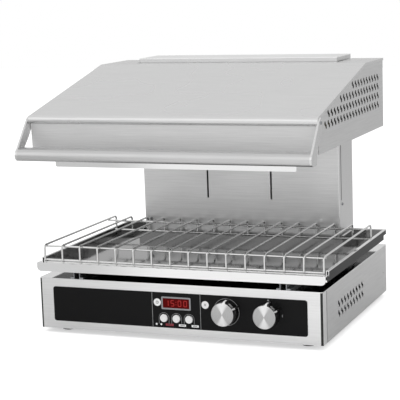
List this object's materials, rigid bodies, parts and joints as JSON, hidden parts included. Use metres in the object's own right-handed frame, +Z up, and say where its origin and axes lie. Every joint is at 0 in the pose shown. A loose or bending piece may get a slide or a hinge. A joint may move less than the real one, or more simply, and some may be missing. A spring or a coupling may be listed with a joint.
{
  "type": "lift salamander grill",
  "caption": "Countertop salamander grill: a heated hood with a bar handle slides up and down a rear column over a wire rack and drip tray on a low base with knobs, display and push buttons.",
  "frame": {"origin": "bottom centre of the bounding box with the hood raised, at floor level between the feet", "axes": "+X to the right as seen from the front, +Y to the rear (column and cable entry), +Z up along the lift"},
  "size_m": [0.6112, 0.566, 0.5305],
  "materials": {
    "satin_steel": "fine brushed stainless sheet",
    "bright_steel": "bright polished stainless",
    "zinc_steel": "zinc-plated structural steel",
    "ground_steel": "ground and hard-chromed rod",
    "black_panel": "glossy black control plate",
    "frame_grey": "light grey moulded plastic",
    "red_window": "dark red display filter",
    "white_plastic": "white moulded plastic",
    "dark_plastic": "dark moulded plastic",
    "board_green": "coated circuit board",
    "brass_part": "turned brass",
    "rubber_black": "black rubber",
    "core_steel": "varnished transformer core",
    "dark_glass": "dark glass-ceramic plate",
    "quartz": "milky quartz glass",
    "ceramic": "fired ceramic",
    "wool": "mineral wool blanket",
    "black_paint": "black painted tube"
  },
  "bodies": {
    "base": {"base_floor": "zinc_steel", "base_front": "satin_steel", "base_side_left": "satin_steel", "base_side_right": "satin_steel", "base_rear": "satin_steel", "base_deck": "bright_steel", "feet": "rubber_black", "control_plate": "black_panel", "display_frame": "frame_grey", "display_window": "red_window", "display_module": "dark_plastic", "control_board": "board_green", "board_posts": "brass_part", "button_switches": "dark_plastic", "mode_switch": "dark_plastic", "energy_regulator": "dark_plastic", "terminal_block": "white_plastic", "power_relay": "dark_plastic", "transformer": "core_steel", "cable_gland": "dark_plastic", "tray_runners": "satin_steel", "column_shell": "satin_steel", "column_rear": "satin_steel", "column_cap": "bright_steel", "guide_rods": "ground_steel", "rod_mounts": "zinc_steel", "spring_tubes": "black_paint", "spring_brackets": "zinc_steel", "column_screws": "zinc_steel"},
    "hood": {"hood_top": "bright_steel", "hood_side_left": "satin_steel", "hood_side_right": "satin_steel", "hood_front": "satin_steel", "hood_pan": "satin_steel", "hood_liner": "satin_steel", "hood_rear": "satin_steel", "heater_box": "bright_steel", "ceramic_glass": "dark_glass", "quartz_tubes": "quartz", "tube_holders": "ceramic", "reflector": "bright_steel", "insulation": "wool", "handle_bar": "bright_steel", "handle_cheeks": "bright_steel", "lift_carriage": "zinc_steel", "guide_bushes": "brass_part", "spring_rods": "ground_steel", "hood_screws": "zinc_steel"},
    "tray": {"drip_tray": "bright_steel"},
    "rack": {"rack_grid": "bright_steel", "rack_ends": "bright_steel"},
    "button_left": {"button_left": "white_plastic"},
    "button_middle": {"button_middle": "white_plastic"},
    "button_right": {"button_right": "white_plastic"},
    "knob_left": {"shaft_left": "zinc_steel", "knob_left": "bright_steel"},
    "knob_right": {"shaft_right": "zinc_steel", "knob_right": "bright_steel"}
  },
  "joints": [
    {"name": "hood_lift", "type": "slide", "parent": "base", "child": "hood", "axis": [0, 0, 1], "range_m": [-0.15, 0]},
    {"name": "tray_slide", "type": "slide", "parent": "base", "child": "tray", "axis": [0, -1, 0], "range_m": [0, 0.56]},
    {"name": "rack_slide", "type": "slide", "parent": "tray", "child": "rack", "axis": [0, -1, 0], "range_m": [0, 0.44]},
    {"name": "button_left_press", "type": "slide", "parent": "base", "child": "button_left", "axis": [0, 1, 0], "range_m": [0, 0.0008], "stiffness_N_per_m": 900, "springref_m": -0.0015},
    {"name": "button_middle_press", "type": "slide", "parent": "base", "child": "button_middle", "axis": [0, 1, 0], "range_m": [0, 0.0008], "stiffness_N_per_m": 900, "springref_m": -0.0015},
    {"name": "button_right_press", "type": "slide", "parent": "base", "child": "button_right", "axis": [0, 1, 0], "range_m": [0, 0.0008], "stiffness_N_per_m": 900, "springref_m": -0.0015},
    {"name": "knob_left_turn", "type": "hinge", "parent": "base", "child": "knob_left", "pos_m": [0.105, -0.227, 0.065], "axis": [0, 1, 0], "range_deg": [0, 270]},
    {"name": "knob_right_turn", "type": "hinge", "parent": "base", "child": "knob_right", "pos_m": [0.19, -0.227, 0.065], "axis": [0, 1, 0], "range_deg": [0, 280]}
  ]
}
